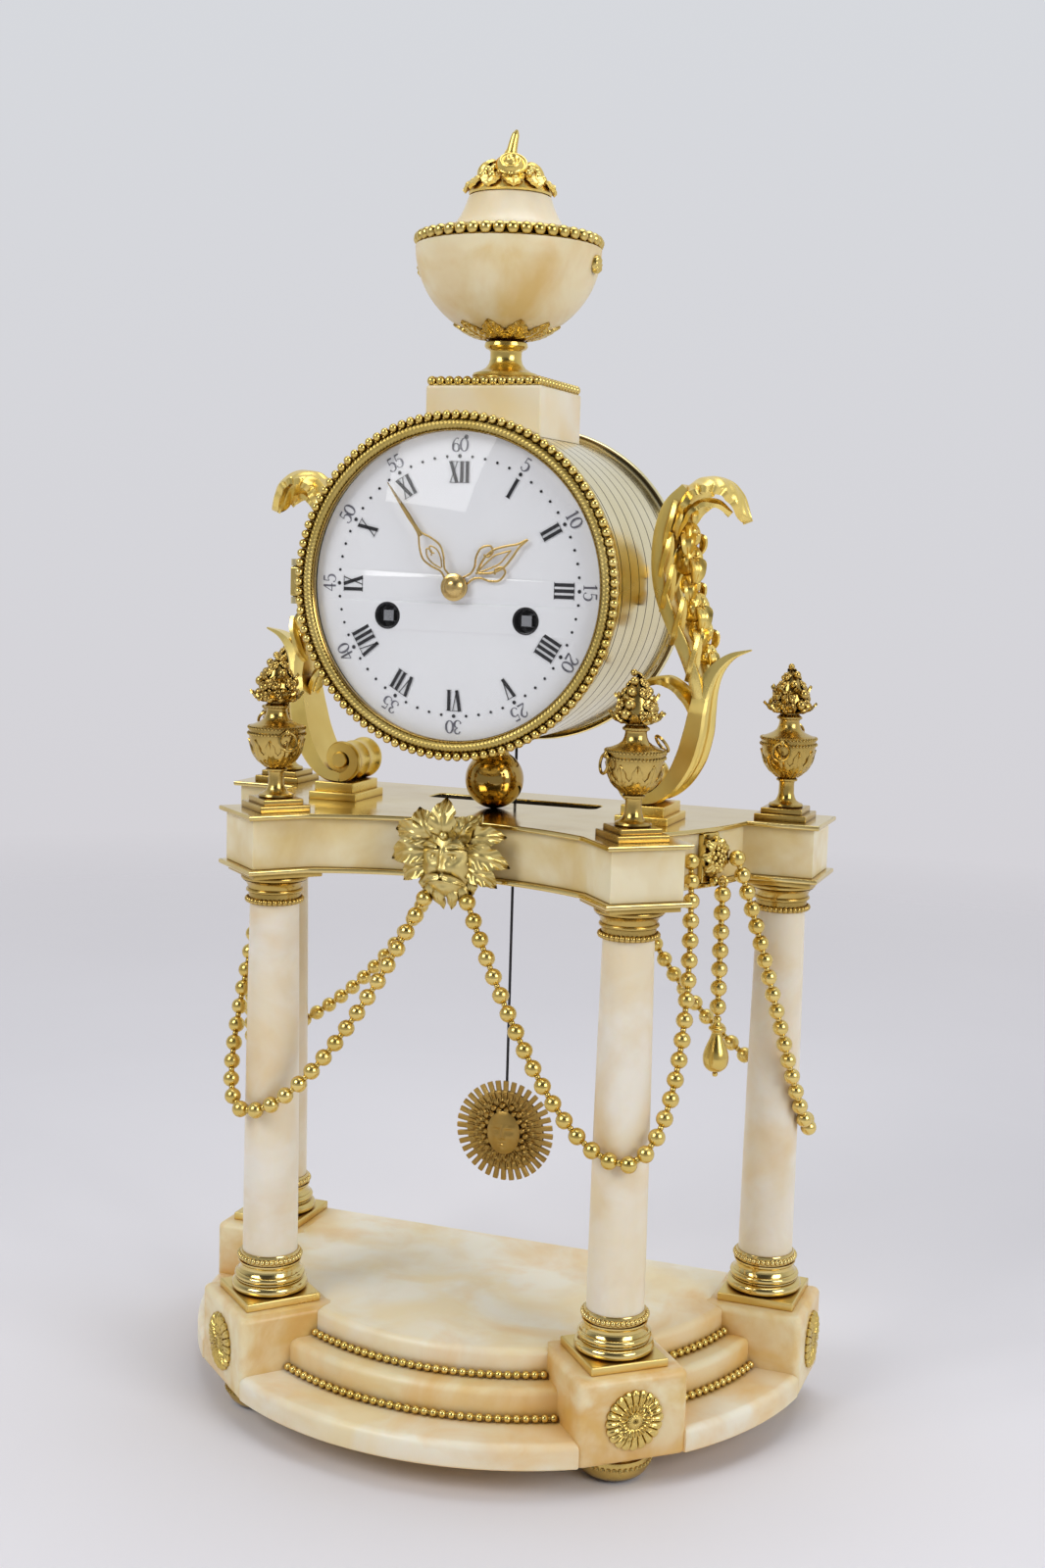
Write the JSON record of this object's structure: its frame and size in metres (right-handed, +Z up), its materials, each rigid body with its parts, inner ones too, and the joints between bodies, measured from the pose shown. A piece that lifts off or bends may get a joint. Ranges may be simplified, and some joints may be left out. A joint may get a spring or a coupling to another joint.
{
  "type": "portico clock",
  "caption": "Marble and gilt portico mantel clock: drum movement under an urn, on a frieze carried by columns, with bead swags and a sunburst pendulum between them",
  "frame": {"origin": "middle of the footprint on the floor, under the feet", "axes": "+Z up, dial faces -Y, +X to the right when facing the dial"},
  "size_m": [0.278, 0.1564, 0.5255],
  "materials": {
    "marble": "polished cream marble with honey staining",
    "gilt": "burnished fire gilding on cast bronze",
    "brass": "turned brass",
    "steel": "dark polished steel",
    "enamel": "glossy white enamel with dark figures",
    "glass": "clear domed glass"
  },
  "bodies": {
    "case": {"feet": "gilt", "base_blocks": "marble", "base_slab": "marble", "base_step": "marble", "base_platform": "marble", "base_rosettes": "gilt", "step_bead_strings": "gilt", "column_bases": "gilt", "column_shafts": "marble", "column_capitals": "gilt", "tie_rods": "steel", "frieze_lower_plate": "gilt", "frieze": "marble", "frieze_top_plate": "gilt", "frieze_mask": "gilt", "side_straps": "gilt", "swag_front_left": "gilt", "swag_front_right": "gilt", "swag_back_left": "gilt", "swag_back_right": "gilt", "corner_urns": "gilt", "ball_support": "gilt", "scroll_left": "gilt", "scroll_right": "gilt", "drum_shell": "brass", "dial": "enamel", "front_plate": "brass", "back_plate": "brass", "plate_pillars": "brass", "suspension_cock": "brass", "bell": "brass", "pedestal": "marble", "urn_foot": "gilt", "urn_bowl": "marble", "urn_collar": "gilt", "urn_lid": "marble", "urn_finial": "gilt"},
    "bezel": {"front_bezel": "gilt", "dial_glass": "glass"},
    "rear_door": {"rear_door": "brass"},
    "minute": {"minute_hand": "gilt", "centre_wheel": "brass"},
    "hour": {"hour_hand": "gilt", "hour_wheel": "brass"},
    "motion": {"motion_wheel": "brass"},
    "going_barrel": {"going_barrel": "brass"},
    "strike_barrel": {"strike_barrel": "brass"},
    "going_arbor": {"going_winding_arbor": "steel"},
    "strike_arbor": {"strike_winding_arbor": "steel"},
    "second": {"second_wheel": "brass"},
    "third": {"third_wheel": "brass"},
    "escape": {"escape_wheel": "brass"},
    "anchor": {"anchor": "steel"},
    "pendulum": {"pendulum_rod": "steel", "pendulum_bob": "gilt"},
    "pin_wheel": {"pin_wheel": "brass"},
    "fly": {"fly": "brass"},
    "hammer": {"hammer": "steel"},
    "drop_left": {"drop_left": "gilt"},
    "drop_right": {"drop_right": "gilt"}
  },
  "joints": [
    {"name": "minute_spin", "type": "hinge", "parent": "case", "child": "minute", "pos_m": [0, 0.00525, 0.3439], "axis": [0, 1, 0], "continuous": true},
    {"name": "hour_spin", "type": "hinge", "parent": "case", "child": "hour", "pos_m": [0, 0.00525, 0.3439], "axis": [0, 1, 0], "continuous": true},
    {"name": "motion_spin", "type": "hinge", "parent": "case", "child": "motion", "pos_m": [0, -0.01575, 0.3587], "axis": [0, 1, 0], "continuous": true},
    {"name": "second_spin", "type": "hinge", "parent": "case", "child": "second", "pos_m": [0.01661, 0.00525, 0.3543], "axis": [0, 1, 0], "continuous": true},
    {"name": "going_barrel_spin", "type": "hinge", "parent": "case", "child": "going_barrel", "pos_m": [0.029, 0.00525, 0.3319], "axis": [0, 1, 0], "continuous": true},
    {"name": "third_spin", "type": "hinge", "parent": "case", "child": "third", "pos_m": [-0.01304, 0.00525, 0.35984], "axis": [0, 1, 0], "continuous": true},
    {"name": "escape_spin", "type": "hinge", "parent": "case", "child": "escape", "pos_m": [0, 0.00525, 0.3709], "axis": [0, 1, 0], "continuous": true},
    {"name": "pendulum_swing", "type": "hinge", "parent": "case", "child": "pendulum", "pos_m": [0, 0.04865, 0.3869], "axis": [0, 1, 0], "range_deg": [-3.5, 3.5]},
    {"name": "anchor_rock", "type": "hinge", "parent": "case", "child": "anchor", "pos_m": [0, 0.01525, 0.3869], "axis": [0, 1, 0], "range_deg": [-3.5, 3.5]},
    {"name": "strike_barrel_spin", "type": "hinge", "parent": "case", "child": "strike_barrel", "pos_m": [-0.029, 0.00525, 0.3319], "axis": [0, 1, 0], "continuous": true},
    {"name": "pin_wheel_spin", "type": "hinge", "parent": "case", "child": "pin_wheel", "pos_m": [-0.00803, 0.00525, 0.31722], "axis": [0, 1, 0], "continuous": true},
    {"name": "fly_spin", "type": "hinge", "parent": "case", "child": "fly", "pos_m": [0.00851, 0.00525, 0.3112], "axis": [0, 1, 0], "continuous": true},
    {"name": "hammer_lift", "type": "hinge", "parent": "case", "child": "hammer", "pos_m": [-0.03, 0.04025, 0.3799], "axis": [0, 1, 0], "range_deg": [0, 15]},
    {"name": "going_winding", "type": "hinge", "parent": "case", "child": "going_arbor", "pos_m": [0.029, 0.00025, 0.3319], "axis": [0, 1, 0], "range_deg": [0, 1800]},
    {"name": "strike_winding", "type": "hinge", "parent": "case", "child": "strike_arbor", "pos_m": [-0.029, 0.00025, 0.3319], "axis": [0, 1, 0], "range_deg": [0, 1800]},
    {"name": "bezel_hinge", "type": "hinge", "parent": "case", "child": "bezel", "pos_m": [-0.0699, -0.02325, 0.3439], "axis": [0, 0, -1], "range_deg": [0, 100]},
    {"name": "rear_door_hinge", "type": "hinge", "parent": "case", "child": "rear_door", "pos_m": [-0.0699, 0.07015, 0.3439], "axis": [0, 0, 1], "range_deg": [0, 110]},
    {"name": "drop_left_swing", "type": "hinge", "parent": "case", "child": "drop_left", "pos_m": [-0.10155, 0.01397, 0.23055], "axis": [-0.4147, 0.91, 0], "range_deg": [-2, 40]},
    {"name": "drop_right_swing", "type": "hinge", "parent": "case", "child": "drop_right", "pos_m": [0.10155, 0.01397, 0.23055], "axis": [-0.4147, -0.91, 0], "range_deg": [-2, 40]}
  ],
  "couplings": [
    {"joint": "hour_spin", "follows": "minute_spin", "ratio": 0.083333},
    {"joint": "motion_spin", "follows": "minute_spin", "ratio": -0.33333},
    {"joint": "second_spin", "follows": "minute_spin", "ratio": -0.125},
    {"joint": "going_barrel_spin", "follows": "minute_spin", "ratio": 0.014881},
    {"joint": "third_spin", "follows": "minute_spin", "ratio": -8.4},
    {"joint": "escape_spin", "follows": "minute_spin", "ratio": 84},
    {"joint": "anchor_rock", "follows": "pendulum_swing", "ratio": 1},
    {"joint": "pin_wheel_spin", "follows": "strike_barrel_spin", "ratio": -8.4},
    {"joint": "fly_spin", "follows": "strike_barrel_spin", "ratio": 73.5}
  ]
}
